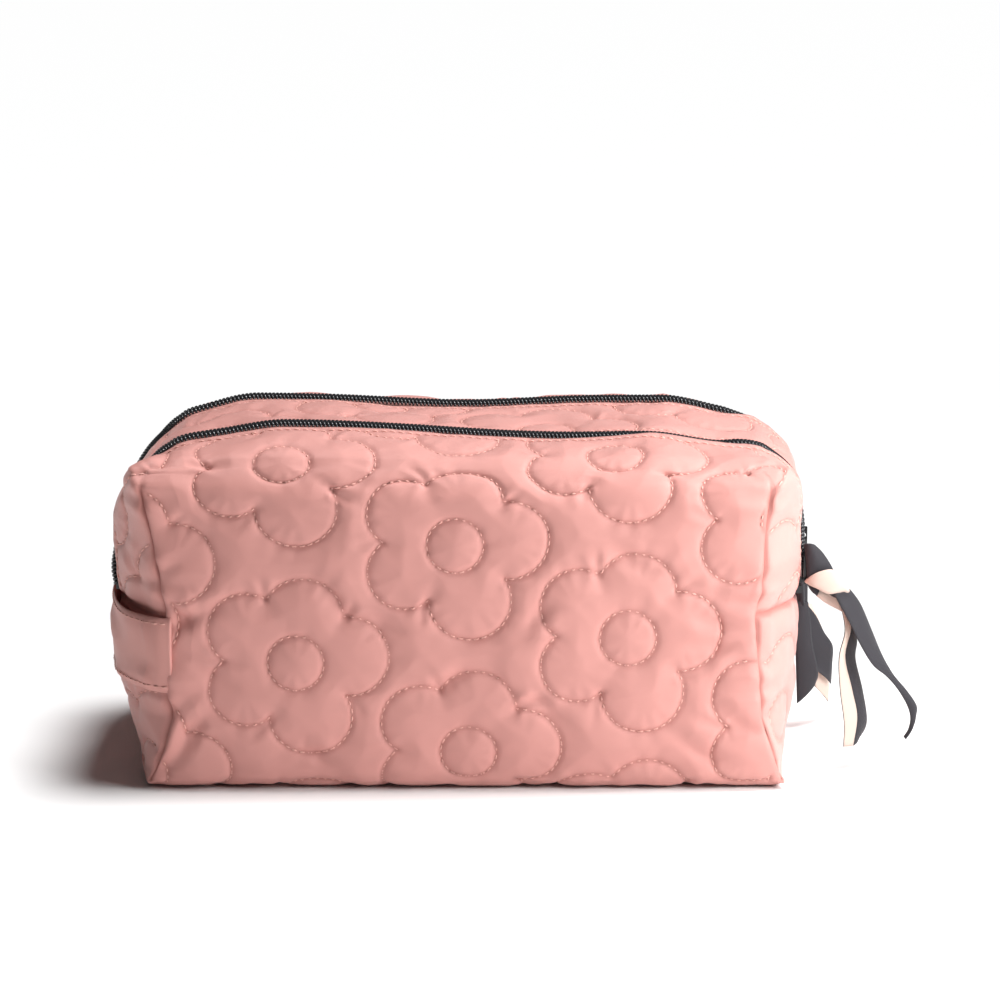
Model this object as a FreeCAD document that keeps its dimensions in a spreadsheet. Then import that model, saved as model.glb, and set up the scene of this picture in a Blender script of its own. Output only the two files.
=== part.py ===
import FreeCAD, Part

# Makeup bag: a soft quilted box with two long zips over its top.
#
# Row frame in millimetres: X along the bag, Y from its front to its back, +Z up, with the origin at the
# middle of the base.  One quilted panel makes the bottom and the lower walls.  Above the mouth line the
# front and back flaps fold outwards, each with one half of a zip.  A quilted strip runs between the zips,
# over the top and down both ends to the end seams.  Inside are two linings with a divider between them.
# A flat strap crosses the left end, and each slider carries a ring puller with a two-colour ribbon
# knotted on it.

import math
import os

import Sketcher

V = FreeCAD.Vector

DRIVING = [
    ("bag_length", 268.0),
    ("bag_depth", 130.0),
    ("bag_height", 135.0),
    ("end_radius", 38.0),
    ("end_foot_radius", 22.0),
    ("brow_radius", 20.0),
    ("foot_radius", 12.0),
    ("side_radius", 52.0),
    ("side_flat", 60.0),
    ("none", 0.0),
    ("overrun", 10.0),
    ("hem", 2.0),
    ("wall", 4.0),
    ("tape_outside", 2.1),
    ("tape_inside", 2.7),
    ("channel_floor", 5.0),
    ("lining_outside", 4.2),
    ("lining_inside", 4.8),
    ("divider_edge", 5.0),
    ("seam_height", 68.0),
    ("mouth_height", 90.0),
    ("seam_gap", 0.3),
    ("zip_offset", 27.0),
    ("slot_half", 5.0),
    ("channel_half", 11.0),
    ("tape_reach", 10.6),
    ("tape_gap", 0.15),
    ("lining_slot_half", 8.0),
    ("divider_half", 0.4),
    ("divider_gap", 0.2),
    ("tooth_pitch", 1.6),
    ("tooth_thickness", 0.6),
    ("tooth_reach", 2.6),
    ("tooth_cross", 0.5),
    ("bead_width", 0.8),
    ("bead_height", 1.5),
    ("teeth_start", 76.0),
    ("stop_height", 3.0),
    ("stop_base", 70.0),
    ("bottom_stop_proud", 0.3),
    ("top_stop_proud", 0.2),
    ("top_stop_half", 1.5),
    ("top_stop_near", 1.2),
    ("top_stop_far", 3.2),
    ("slider_height", 78.0),
    ("slider_length", 11.0),
    ("slider_half", 4.5),
    ("plate", 1.2),
    ("plate_gap", 0.3),
    ("under_gap", 0.25),
    ("flange", 0.8),
    ("post_half", 0.9),
    ("post_length", 1.6),
    ("post_room", 0.2),
    ("bail_half", 1.1),
    ("bail_length", 7.0),
    ("bail_rise", 3.6),
    ("bail_bore", 1.4),
    ("puller_wire", 0.7),
    ("puller_half", 3.2),
    ("puller_drop", 10.0),
    ("puller_corner", 1.6),
    ("front_puller_tilt", 42.0),
    ("back_puller_tilt", 12.0),
    ("ribbon_thickness", 0.6),
    ("ribbon_gap", 0.5),
    ("strap_width", 29.0),
    ("strap_base", 38.0),
    ("strap_thickness", 1.5),
]

doc = FreeCAD.newDocument("makeup_bag")
sheet = doc.addObject("Spreadsheet::Sheet", "sizes")
for row, (alias, value) in enumerate(DRIVING, start=1):
    sheet.set(f"A{row}", alias)
    sheet.set(f"B{row}", str(value))
    sheet.setAlias(f"B{row}", alias)
doc.recompute()

SUBPARTS = []


def size(alias):
    """A driving dimension, read from the sheet."""
    return float(sheet.get(alias))


def cell(text):
    """An expression in which each $word is a cell of the sheet."""
    return text.replace("$", "sizes.")


def subpart(thing, name):
    """Marks an object as a sub-part, whose Label names its file."""
    thing.Label = name
    SUBPARTS.append(thing)
    return thing


def box(name, x, y, z):
    """A Part::Box between pairs of expressions."""
    made = doc.addObject("Part::Box", name)
    for side, at, (low, high) in zip(("Length", "Width", "Height"), "xyz", (x, y, z)):
        made.setExpression(side, cell(f"({high}) - ({low})"))
        made.setExpression(f"Placement.Base.{at}", cell(low))
    return made


def boolean(kind, name, base, tool):
    made = doc.addObject(f"Part::{kind}", name)
    made.Base, made.Tool, made.Refine = base, tool, True
    return made


def several(kind, name, shapes):
    made = doc.addObject(f"Part::{kind}", name)
    made.Shapes, made.Refine = shapes, True
    return made


# ---------------------------------------------------------------- the soft box and the forms inside it


def rounded_outline(sketch, width, height, low_radius, high_radius, below):
    """A rounded rectangle, `below` under the sketch's X axis, each size an expression.

    It is drawn at the starting sizes w, t, r, q and b, and the expressions then drive it.
    """
    w, t, r, q, b = 200.0, 100.0, 10.0, 20.0, 30.0
    half = w / 2
    quarter = math.pi / 2

    def arc(cx, cy, radius, turns):
        circle = Part.Circle(V(cx, cy, 0), V(0, 0, 1), radius)
        return Part.ArcOfCircle(circle, turns * quarter, (turns + 1) * quarter)

    sketch.addGeometry(
        [
            Part.LineSegment(V(-half + r, -b, 0), V(half - r, -b, 0)),
            arc(half - r, r - b, r, 3),
            Part.LineSegment(V(half, r - b, 0), V(half, t - q - b, 0)),
            arc(half - q, t - q - b, q, 0),
            Part.LineSegment(V(half - q, t - b, 0), V(-half + q, t - b, 0)),
            arc(-half + q, t - q - b, q, 1),
            Part.LineSegment(V(-half, t - q - b, 0), V(-half, r - b, 0)),
            arc(-half + r, r - b, r, 2),
        ],
        False,
    )
    Rule = Sketcher.Constraint
    for i in range(8):
        sketch.addConstraint(Rule("Tangent", i, 2, (i + 1) % 8, 1))
    for i, kind in ((0, "Horizontal"), (2, "Vertical"), (4, "Horizontal"), (6, "Vertical")):
        sketch.addConstraint(Rule(kind, i))
    sketch.addConstraint(Rule("Equal", 1, 7))
    sketch.addConstraint(Rule("Equal", 3, 5))
    for rule, expression in (
        (Rule("Radius", 1, r), low_radius),
        (Rule("Radius", 3, q), high_radius),
        (Rule("DistanceX", 6, 1, 2, 1, w), width),
        (Rule("DistanceX", -1, 1, 2, 1, half), f"({width}) / 2"),
        (Rule("DistanceY", 0, 1, 4, 1, t), height),
    ):
        index = sketch.addConstraint(rule)
        sketch.setExpression(f"Constraints[{index}]", cell(expression))
    if below == "0":
        sketch.addConstraint(Rule("PointOnObject", 0, 1, -1))
    else:
        index = sketch.addConstraint(Rule("DistanceY", 0, 1, -1, 1, b))
        sketch.setExpression(f"Constraints[{index}]", cell(below))


def prism(name, plane, outline, length, midplane, lift):
    """A padded rounded rectangle in a PartDesign body, raised by `lift`."""
    body = doc.addObject("PartDesign::Body", name)
    sketch = body.newObject("Sketcher::SketchObject", f"{name}_outline")
    base = next(f for f in body.Origin.OriginFeatures if f.Role == plane)
    sketch.AttachmentSupport = (base, "")
    sketch.MapMode = "FlatFace"
    rounded_outline(sketch, *outline)
    pad = body.newObject("PartDesign::Pad", f"{name}_pad")
    pad.Profile = sketch
    pad.setExpression("Length", cell(length))
    pad.Midplane = midplane
    body.setExpression("Placement.Base.z", cell(lift))
    return body


def belt_form(name, inset):
    """The bag's outline seen from the front, carried through its depth, inset all round."""
    outline = (
        f"$bag_length - 2 * {inset}",
        f"$bag_height - 2 * {inset}",
        f"$end_foot_radius - {inset}",
        f"$end_radius - {inset}",
        "0",
    )
    return prism(name, "XZ_Plane", outline, "$bag_depth + 2 * $overrun", True, inset)


def soft_form(name, inset):
    """The closed soft box, inset all round: rounded seen from the front and from the end.

    Seen from above its ends bulge, and meet the front and back in crisp corner seams: the plan's corners are
    arcs that the flat front and back cut short.
    """
    side = (
        f"$bag_depth - 2 * {inset}",
        f"$bag_height - 2 * {inset}",
        f"$foot_radius - {inset}",
        f"$brow_radius - {inset}",
        "0",
    )
    plan = (
        f"$bag_length - 2 * {inset}",
        f"$side_flat + 2 * $side_radius - 2 * {inset}",
        f"$side_radius - {inset}",
        f"$side_radius - {inset}",
        f"$side_flat / 2 + $side_radius - {inset}",
    )
    forms = [
        belt_form(f"{name}_belt", inset),
        prism(f"{name}_side", "YZ_Plane", side, "$bag_length + 2 * $overrun", True, inset),
        prism(f"{name}_plan", "XY_Plane", plan, "$bag_height", False, "$none"),
    ]
    return several("MultiCommon", name, forms)


X_ALL = ("-$bag_length", "$bag_length")
Y_ALL = ("-$bag_depth", "$bag_depth")
ABOVE_SEAM = ("$seam_height", "$bag_height + $overrun")

outer_form = soft_form("outer_form", "$none")
wall_form = soft_form("wall_form", "$wall")
quilted_shell = boolean("Cut", "quilted_shell", outer_form, wall_form)

# Under each hem the panel is thin, and the zip's tape lies there.
channel_ring = boolean(
    "Cut", "channel_ring", belt_form("hem_belt", "$hem"), belt_form("floor_belt", "$channel_floor")
)
channel_bands = several(
    "MultiFuse",
    "channel_bands",
    [
        box(
            f"channel_band_{name}",
            X_ALL,
            (f"{middle} - $channel_half", f"{middle} + $channel_half"),
            ABOVE_SEAM,
        )
        for name, middle in (("front", "-$zip_offset"), ("back", "$zip_offset"))
    ],
)
channels = boolean("Common", "channels", channel_ring, channel_bands)
slots = several(
    "MultiFuse",
    "slots",
    [
        box(
            f"slot_{name}",
            X_ALL,
            (f"{middle} - $slot_half", f"{middle} + $slot_half"),
            ABOVE_SEAM,
        )
        for name, middle in (("front", "-$zip_offset"), ("back", "$zip_offset"))
    ],
)
panels = boolean("Cut", "panels", boolean("Cut", "hemmed_shell", quilted_shell, channels), slots)

# ---------------------------------------------------------------- the four quilted pieces

strip_y = ("-$zip_offset + $slot_half", "$zip_offset - $slot_half")
strip_region = box("strip_region", X_ALL, strip_y, ("$seam_height + $seam_gap", "$bag_height + $overrun"))
subpart(boolean("Common", "strip", panels, strip_region), "centre_strip")

front_y = ("-$bag_depth", "-$zip_offset")
back_y = ("$zip_offset", "$bag_depth")
FLAP_Z = ("$mouth_height + $seam_gap / 2", "$bag_height + $overrun")
front_region = box("front_region", X_ALL, front_y, FLAP_Z)
back_region = box("back_region", X_ALL, back_y, FLAP_Z)
subpart(boolean("Common", "flap_front", panels, front_region), "front_flap")
subpart(boolean("Common", "flap_back", panels, back_region), "back_flap")

lower_region = box("lower_region", X_ALL, Y_ALL, ("-$overrun", "$mouth_height - $seam_gap / 2"))
strip_space = box("strip_space", X_ALL, strip_y, ABOVE_SEAM)
subpart(
    boolean("Cut", "main", boolean("Common", "lower_shell", panels, lower_region), strip_space),
    "main_panel",
)

# ---------------------------------------------------------------- the two linings and their divider

lining_form = soft_form("lining_form", "$lining_outside")
pocket_form = soft_form("pocket_form", "$lining_inside")
lining_shell = boolean("Cut", "lining_shell", lining_form, pocket_form)
lining_slots = several(
    "MultiFuse",
    "lining_slots",
    [
        box(
            f"lining_slot_{name}",
            X_ALL,
            (f"{middle} - $lining_slot_half", f"{middle} + $lining_slot_half"),
            ABOVE_SEAM,
        )
        for name, middle in (("front", "-$zip_offset"), ("back", "$zip_offset"))
    ],
)
open_lining = boolean("Cut", "open_lining", lining_shell, lining_slots)
Z_ALL = ("-$overrun", "$bag_height + $overrun")
FLAP_LINING_Z = ("$mouth_height - $seam_gap / 2", "$bag_height + $overrun")
LINING_MIDDLE = "$divider_half + $divider_gap"
for side, half_y, flap_y in (
    ("front", ("-$bag_depth", f"-({LINING_MIDDLE})"), front_y),
    ("back", (LINING_MIDDLE, "$bag_depth"), back_y),
):
    half = boolean("Common", f"{side}_lining_half", open_lining, box(f"{side}_half", X_ALL, half_y, Z_ALL))
    flap_space = box(f"{side}_flap_space", X_ALL, flap_y, FLAP_LINING_Z)
    subpart(boolean("Cut", f"{side}_pocket", half, flap_space), f"{side}_lining")
    flap_region = box(f"{side}_flap_lining_region", X_ALL, flap_y, FLAP_Z)
    subpart(boolean("Common", f"{side}_flap_back", half, flap_region), f"{side}_flap_lining")

divider_form = soft_form("divider_form", "$divider_edge")
divider_slab = box("divider_slab", X_ALL, ("-$divider_half", "$divider_half"), Z_ALL)
subpart(boolean("Common", "divider_sheet", divider_form, divider_slab), "divider")

# ---------------------------------------------------------------- the zips

tape_ring = boolean(
    "Cut",
    "tape_ring",
    belt_form("tape_outer_belt", "$tape_outside"),
    belt_form("tape_inner_belt", "$tape_inside"),
)
for zip_name, middle, out in (("front", "-$zip_offset", -1), ("back", "$zip_offset", 1)):
    for side_name, way in (("outer", out), ("inner", -out)):
        ends = (f"{middle} + {way} * $tape_gap", f"{middle} + {way} * $tape_reach")
        low, high = ends if way > 0 else ends[::-1]
        name = f"{zip_name}_zip_{side_name}_tape"
        above = ("$seam_height + $seam_gap", "$bag_height + $overrun")
        region = box(f"{name}_region", X_ALL, (low, high), above)
        whole = boolean("Common", f"{name}_whole", tape_ring, region)
        post_gap = box(
            f"{name}_post_gap",
            ("0", "$bag_length"),
            (f"{middle} - $post_half - $post_room", f"{middle} + $post_half + $post_room"),
            ("$seam_height", "$teeth_start - $post_room"),
        )
        subpart(boolean("Cut", f"{name}_strip", whole, post_gap), name)


def chain_point(along):
    """Where the chain runs, `along` from the lower right end: (place on the bag's skin, turn about Y)."""
    half, top, radius = size("bag_length") / 2, size("bag_height"), size("end_radius")
    rise = top - radius - size("teeth_start")
    bend = radius * math.pi / 2
    run = 2 * (half - radius)
    if along < rise:
        return V(half, 0, size("teeth_start") + along), 0.0
    along -= rise
    if along < bend:
        turn = along / radius
        centre = V(half - radius, 0, top - radius)
        return centre + V(radius * math.cos(turn), 0, radius * math.sin(turn)), turn
    along -= bend
    if along < run:
        return V(half - radius - along, 0, top), math.pi / 2
    along -= run
    if along < bend:
        turn = math.pi / 2 + along / radius
        centre = V(radius - half, 0, top - radius)
        return centre + V(radius * math.cos(turn), 0, radius * math.sin(turn)), turn
    return V(-half, 0, top - radius - (along - bend)), math.pi


def chain_length():
    half, top, radius = size("bag_length") / 2, size("bag_height"), size("end_radius")
    return 2 * (top - radius - size("teeth_start")) + math.pi * radius + 2 * (half - radius)


def teeth_row(middle, way, offset):
    """One side's teeth as separate blocks on the tape, `way` from the chain's middle."""
    pitch, thick = size("tooth_pitch"), size("tooth_thickness")
    reach, cross, deep = size("tooth_reach"), size("tooth_cross"), size("tape_outside")
    blocks = []
    count = int((chain_length() - pitch) / pitch)
    for i in range(count):
        place, turn = chain_point(thick + (i + offset) * pitch)
        low = middle - cross if way > 0 else middle - reach
        block = Part.makeBox(deep, reach + cross, thick, V(-deep, low, -thick / 2))
        block.rotate(V(0, 0, 0), V(0, -1, 0), math.degrees(turn))
        block.translate(place)
        blocks.append(block)
    return blocks


bead_ring_outside = belt_form("bead_outer_belt", "$tape_outside - $bead_height")
bead_ring = boolean("Cut", "bead_ring", bead_ring_outside, belt_form("bead_inner_belt", "$tape_outside"))
bead_sides = []
for zip_name, middle, out in (("front", "-$zip_offset", -1), ("back", "$zip_offset", 1)):
    for side_name, way in (("outer", out), ("inner", -out)):
        near, far = "$tooth_reach", "$tooth_reach + $bead_width"
        ends = (f"{middle} + {way} * ({near})", f"{middle} + {way} * ({far})")
        low, high = ends if way > 0 else ends[::-1]
        name = f"{zip_name}_zip_{side_name}_teeth"
        region = box(f"{name}_region", X_ALL, (low, high), ("$teeth_start", "$bag_height + $overrun"))
        bead_sides.append((name, way, boolean("Common", f"{name}_bead", bead_ring, region)))
doc.recompute()
for name, way, bead in bead_sides:
    middle = size("zip_offset") * (-1 if name.startswith("front") else 1)
    row = doc.addObject("Part::Feature", f"{name}_row")
    row.Shape = Part.makeCompound(teeth_row(middle, way, 0.0 if way > 0 else 0.5) + bead.Shape.Solids)
    subpart(row, name)

STOP_Z = ("$stop_base", "$stop_base + $stop_height")
for zip_name, middle in (("front", "-$zip_offset"), ("back", "$zip_offset")):
    subpart(
        box(
            f"{zip_name}_bottom_stop",
            ("-$bag_length / 2 - $bottom_stop_proud", "-$bag_length / 2 + $tape_outside"),
            (f"{middle} - $tooth_reach", f"{middle} + $tooth_reach"),
            STOP_Z,
        ),
        f"{zip_name}_zip_bottom_stop",
    )
    clips = [
        box(
            f"{zip_name}_top_stop_{side}",
            ("$bag_length / 2 - $tape_outside", "$bag_length / 2 + $top_stop_proud"),
            (f"{middle} + {near}", f"{middle} + {far}"),
            ("$stop_base - $top_stop_half", "$stop_base + $top_stop_half"),
        )
        for side, near, far in (
            ("left", "-$top_stop_far", "-$top_stop_near"),
            ("right", "$top_stop_near", "$top_stop_far"),
        )
    ]
    top_clips = doc.addObject("Part::Compound", f"{zip_name}_top_clips")
    top_clips.Links = clips
    subpart(top_clips, f"{zip_name}_zip_top_stops")

# ---------------------------------------------------------------- sliders and pullers


def slider(zip_name, middle):
    """A slider on the right end: two plates joined by a post, side flanges, and a bail for the puller."""
    skin = "$bag_length / 2"
    low, high = "$slider_height - $slider_length / 2", "$slider_height + $slider_length / 2"
    side = (f"{middle} - $slider_half", f"{middle} + $slider_half")
    under = (f"{skin} - $tape_inside - $under_gap - $plate", f"{skin} - $tape_inside - $under_gap")
    over = (f"{skin} + $plate_gap", f"{skin} + $plate_gap + $plate")
    pieces = [
        box(f"{zip_name}_slider_over", over, side, (low, high)),
        box(f"{zip_name}_slider_under", under, side, (low, high)),
        box(
            f"{zip_name}_slider_post",
            (under[1], over[0]),
            (f"{middle} - $post_half", f"{middle} + $post_half"),
            (low, f"{low} + $post_length"),
        ),
    ]
    for name, near, far in (
        ("left", "-$slider_half", "-$slider_half + $flange"),
        ("right", "$slider_half - $flange", "$slider_half"),
    ):
        reach = (f"{skin} - $bead_height", over[0])
        wall = (f"{middle} + ({near})", f"{middle} + ({far})")
        pieces.append(box(f"{zip_name}_slider_{name}", reach, wall, (low, high)))
    bail = box(
        f"{zip_name}_bail",
        (over[1], f"{over[1]} + $bail_rise"),
        (f"{middle} - $bail_half", f"{middle} + $bail_half"),
        ("$slider_height - $bail_length / 2", "$slider_height + $bail_length / 2"),
    )
    bore = doc.addObject("Part::Cylinder", f"{zip_name}_bail_bore")
    bore.setExpression("Radius", cell("$bail_bore"))
    bore.setExpression("Height", cell("$slider_half * 2"))
    bore.Placement.Rotation = FreeCAD.Rotation(V(1, 0, 0), -90)
    bore.setExpression("Placement.Base.x", cell(f"{over[1]} + $bail_rise / 2"))
    bore.setExpression("Placement.Base.y", cell(f"{middle} - $slider_half"))
    bore.setExpression("Placement.Base.z", cell("$slider_height"))
    whole = several("MultiFuse", f"{zip_name}_slider_blank", pieces + [bail])
    return boolean("Cut", f"{zip_name}_slider_bored", whole, bore)


def puller(zip_name, middle, tilt):
    """A wire ring through the bail, hanging `tilt` degrees out from straight down."""
    wire, half = size("puller_wire"), size("puller_half")
    low, corner = -size("puller_drop"), size("puller_corner")
    points = [V(0, -half, 0), V(0, half, 0), V(0, half, low), V(0, -half, low)]
    edges = []
    for i in range(4):
        here, before, after = points[i], points[i - 1], points[(i + 1) % 4]
        start = here + (before - here).normalize() * corner
        end = here + (after - here).normalize() * corner
        inward = (start - here) + (end - here)
        middle_of_arc = here + inward * (1 - math.sqrt(0.5))
        edges.append(Part.Arc(start, middle_of_arc, end).toShape())
        far = after + (here - after).normalize() * corner
        edges.append(Part.LineSegment(end, far).toShape())
    spine = Part.Wire(Part.__sortEdges__(edges))
    start = spine.Edges[0].Vertexes[0].Point
    tangent = spine.Edges[0].tangentAt(spine.Edges[0].FirstParameter)
    profile = Part.Wire([Part.makeCircle(wire, start, tangent)])
    ring = doc.addObject("Part::Feature", f"{zip_name}_ring")
    ring.Shape = spine.makePipeShell([profile], True, True)
    ring.Placement = FreeCAD.Placement(puller_pivot(middle), FreeCAD.Rotation(V(0, -1, 0), tilt))
    return ring


def puller_pivot(middle):
    """The middle of the bail's bore, where the puller hangs."""
    out = size("bag_length") / 2 + size("plate_gap") + size("plate") + size("bail_rise") / 2
    return V(out, middle, size("slider_height"))


for zip_name, middle, sign in (("front", "-$zip_offset", -1), ("back", "$zip_offset", 1)):
    subpart(slider(zip_name, middle), f"{zip_name}_slider")
    tilt = size(f"{zip_name}_puller_tilt")
    subpart(puller(zip_name, sign * size("zip_offset"), tilt), f"{zip_name}_puller")

# ---------------------------------------------------------------- the ribbons


def tail(points, middle, width):
    """A flat ribbon tail facing the front, down through (x, z) points, with slanted ends."""
    left, right = [], []
    for i, (x, z) in enumerate(points):
        before, after = points[max(i - 1, 0)], points[min(i + 1, len(points) - 1)]
        along = V(after[0] - before[0], 0, after[1] - before[1]).normalize()
        across = V(-along.z, 0, along.x) * (width[i] / 2)
        left.append(V(x, middle, z) + across)
        right.append(V(x, middle, z) - across)
    outline = Part.makePolygon(left + right[::-1] + [left[0]])
    return Part.Face(outline).extrude(V(0, size("ribbon_thickness"), 0))


def knot(zip_name, place, radii, lean):
    """A rounded lump of tied ribbon."""
    made = doc.addObject("Part::Ellipsoid", f"{zip_name}_knot")
    made.Angle1, made.Angle2, made.Angle3 = -90, 90, 360
    made.Radius1, made.Radius2, made.Radius3 = radii[2], radii[0], radii[1]
    made.Placement = FreeCAD.Placement(V(*place), FreeCAD.Rotation(V(0, 1, 0), lean))
    return made


RIBBONS = {
    "front": {
        "y": -31.0,
        "knot": ((146.5, -31.0, 69.5), (6.0, 5.0, 9.0), -32.0),
        "black": [
            ([(150, 66), (159, 51), (167, 36), (174, 23), (176, 8)], (11, 10, 9, 7, 7)),
            ([(152, 57), (151, 42), (154, 24), (154, 5)], (7, 7, 7, 7)),
        ],
        "cream": [
            ([(147, 64), (148, 44), (148.5, 24), (149, 4.5)], (9, 9, 9, 9)),
            ([(152, 64), (162, 46), (172, 24), (175, 7)], (8, 8, 6, 6)),
        ],
    },
    "back": {
        "y": 27.0,
        "knot": ((141.0, 27.0, 62.0), (5.0, 6.0, 8.0), -10.0),
        "black": [([(142, 55), (145, 38), (147, 22), (146, 7)], (12, 14, 14, 12))],
        "cream": [([(143, 54), (147, 38), (150, 22), (151, 9)], (12, 14, 13, 11))],
    },
}
for zip_name, bow in RIBBONS.items():
    subpart(knot(zip_name, *bow["knot"]), f"{zip_name}_ribbon_knot")
    step = size("ribbon_thickness") + size("ribbon_gap")
    for order, colour in ((0, "black"), (1, "cream")):
        made = doc.addObject("Part::Feature", f"{zip_name}_{colour}")
        tails = [
            tail(points, bow["y"] + (2 * i + order) * step, width)
            for i, (points, width) in enumerate(bow[colour])
        ]
        made.Shape = Part.makeCompound(tails)
        subpart(made, f"{zip_name}_{colour}_ribbon")

# ---------------------------------------------------------------- the strap on the left end

# The strap's inner face from its middle to its seam: (depth in from the end's crown, place across the end).
STRAP_LINE = ((-5.2, 0.0), (-4.6, 18.0), (-2.2, 38.0), (2.2, 50.0), (8.0, 59.5), (12.6, 64.6))


def strap():
    """A flat strap across the left end, sewn in at both corner seams and standing off in the middle."""
    thick = size("strap_thickness")
    inner = [(size("bag_length") / 2 - out, y) for out, y in STRAP_LINE]
    both = [(x, -y) for x, y in inner[:0:-1]] + inner
    near = [V(-x, y, 0) for x, y in both]
    far = [V(-x - thick, y, 0) for x, y in both]
    faces = []
    for points in (near, far):
        curve = Part.BSplineCurve()
        curve.interpolate(points)
        faces.append(curve.toShape())
    caps = [Part.LineSegment(near[i], far[i]).toShape() for i in (0, -1)]
    face = Part.Face(Part.Wire(Part.__sortEdges__([*faces, *caps])))
    made = doc.addObject("Part::Feature", "strap")
    made.Shape = face.extrude(V(0, 0, size("strap_width")))
    made.Placement = FreeCAD.Placement(V(0, 0, size("strap_base")), FreeCAD.Rotation())
    return made


subpart(strap(), "side_strap")

# ---------------------------------------------------------------- checks and files

doc.recompute()
for thing in doc.Objects:
    if {"Invalid", "Error"} & set(thing.State):
        raise RuntimeError(f"{thing.Name} failed: {thing.State}")
os.makedirs("parts", exist_ok=True)
for thing in SUBPARTS:
    shape = thing.Shape
    if shape.isNull() or not shape.isValid() or not shape.Solids:
        raise RuntimeError(f"{thing.Label} has no valid solid")
    shape.exportStep(os.path.join("parts", f"{thing.Label}.step"))
    print(f"{thing.Label}: {len(shape.Solids)} solids, {shape.Volume:.1f} mm3")
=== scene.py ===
"""Makeup bag: the looks.  Lengths here are in millimetres until a mesh is made."""
import math

import bpy
import numpy as np
from mathutils import Matrix, Vector, kdtree


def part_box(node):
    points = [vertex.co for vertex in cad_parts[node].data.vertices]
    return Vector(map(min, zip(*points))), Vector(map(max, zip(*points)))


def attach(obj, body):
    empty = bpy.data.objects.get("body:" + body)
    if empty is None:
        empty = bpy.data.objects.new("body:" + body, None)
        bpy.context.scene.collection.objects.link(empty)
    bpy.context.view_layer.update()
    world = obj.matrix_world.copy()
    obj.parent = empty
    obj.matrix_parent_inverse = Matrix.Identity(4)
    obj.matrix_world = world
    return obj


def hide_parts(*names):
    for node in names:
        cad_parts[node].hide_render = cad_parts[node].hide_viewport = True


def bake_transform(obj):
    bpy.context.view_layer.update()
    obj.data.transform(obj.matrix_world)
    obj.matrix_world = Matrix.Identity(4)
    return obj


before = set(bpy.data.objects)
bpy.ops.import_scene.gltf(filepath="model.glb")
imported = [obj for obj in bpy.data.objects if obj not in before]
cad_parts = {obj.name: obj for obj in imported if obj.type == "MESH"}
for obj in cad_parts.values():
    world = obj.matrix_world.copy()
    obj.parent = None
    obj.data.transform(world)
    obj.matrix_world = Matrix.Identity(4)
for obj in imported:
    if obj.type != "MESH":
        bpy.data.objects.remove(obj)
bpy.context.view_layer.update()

MM = 0.001
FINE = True


def corners(node):
    """A CAD node's lowest and highest corners, in millimetres."""
    low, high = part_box(node)
    return np.array(low) / MM, np.array(high) / MM


# ---- sizes, read from the frame

HALF_LENGTH = corners("centre_strip")[1][0]
HEIGHT = corners("centre_strip")[1][2]
HALF_DEPTH = corners("main_panel")[1][1]
SEAM_Z = corners("centre_strip")[0][2]
ZIP_Y = sum(corner[1] for corner in corners("back_slider")) / 2
WALL_Y = HALF_DEPTH - 1.5  # the smooth form's front and back walls

SLOT_HALF = 3.9
TOP_BLEND = 12.0
END_RADIUS = 38.0
BROW_RADIUS = 20.0
CORE = (HALF_LENGTH - END_RADIUS, HALF_DEPTH - 22.0)
CORE_LOW, CORE_HIGH = 24.0, HEIGHT - END_RADIUS
ARC_SHARE = math.pi / 4
STEP = 1.0 if FINE else 2.0
SLOT_IN, SLOT_OUT = ZIP_Y - SLOT_HALF, ZIP_Y + SLOT_HALF

# The bag's half length and the places of its left and right corner seams, against height.
LENGTH_LINE = (
    (0, 122), (7, 124.5), (13, 126.5), (34, 131), (58, 131.6),
    (68, 130.6), (78, 132.4), (92, 131.6), (135, 131),
)
LEFT_SEAM = (
    (0, 118), (5, 116.8), (17, 111), (28, 108), (39, 110.3),
    (70, 110.4), (97, 114.6), (126, 119.8), (135, 120),
)
RIGHT_SEAM = ((0, 125), (5, 123.5), (28, 116), (68, 112.7), (78, 115), (112, 116.5), (128, 121), (135, 121.5))
LEFT_BEND, RIGHT_BEND = 45.0, 30.0
FLAT_END = 22.0  # half the depth of the flat middle of each end

# ---- helpers


def along(line, at):
    """Reads a line of (place, value) points."""
    places, values = zip(*line)
    return np.interp(at, places, values)


def seam_place(x, z):
    """How far out the corner seam on the point's own end of the bag is, at a height."""
    return np.where(x < 0, along(LEFT_SEAM, z), along(RIGHT_SEAM, z))


def ease(low, high, at):
    share = np.clip((at - low) / (high - low), 0, 1)
    return share * share * (3 - 2 * share)


def bell(at, width):
    return np.exp(-((at / width) ** 2))


def unit(vectors):
    return vectors / np.linalg.norm(vectors, axis=1)[:, None]


def runs_of(line):
    """Length along a line at each of its points."""
    return np.concatenate([[0], np.cumsum(np.linalg.norm(np.diff(line, axis=0), axis=1))])


def pairs(first, second):
    """Every pair of the values of two lists, the second's changing fastest."""
    return np.stack(np.meshgrid(first, second, indexing="ij"), axis=-1).reshape(-1, 2)


def waves(points, length, seed, count=26):
    """Smooth noise of about unit size whose bumps are about `length` apart."""
    rng = np.random.default_rng(seed)
    total = np.zeros(len(points))
    for _ in range(count):
        way = rng.normal(size=points.shape[1])
        way /= np.linalg.norm(way)
        pitch = length * rng.uniform(0.6, 1.6)
        total += np.sin(points @ way * (2 * math.pi / pitch) + rng.uniform(0, 2 * math.pi))
    return total / math.sqrt(count / 2)


def added(name, data):
    """A new object in the scene."""
    piece = bpy.data.objects.new(name, data)
    bpy.context.scene.collection.objects.link(piece)
    return piece


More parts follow.
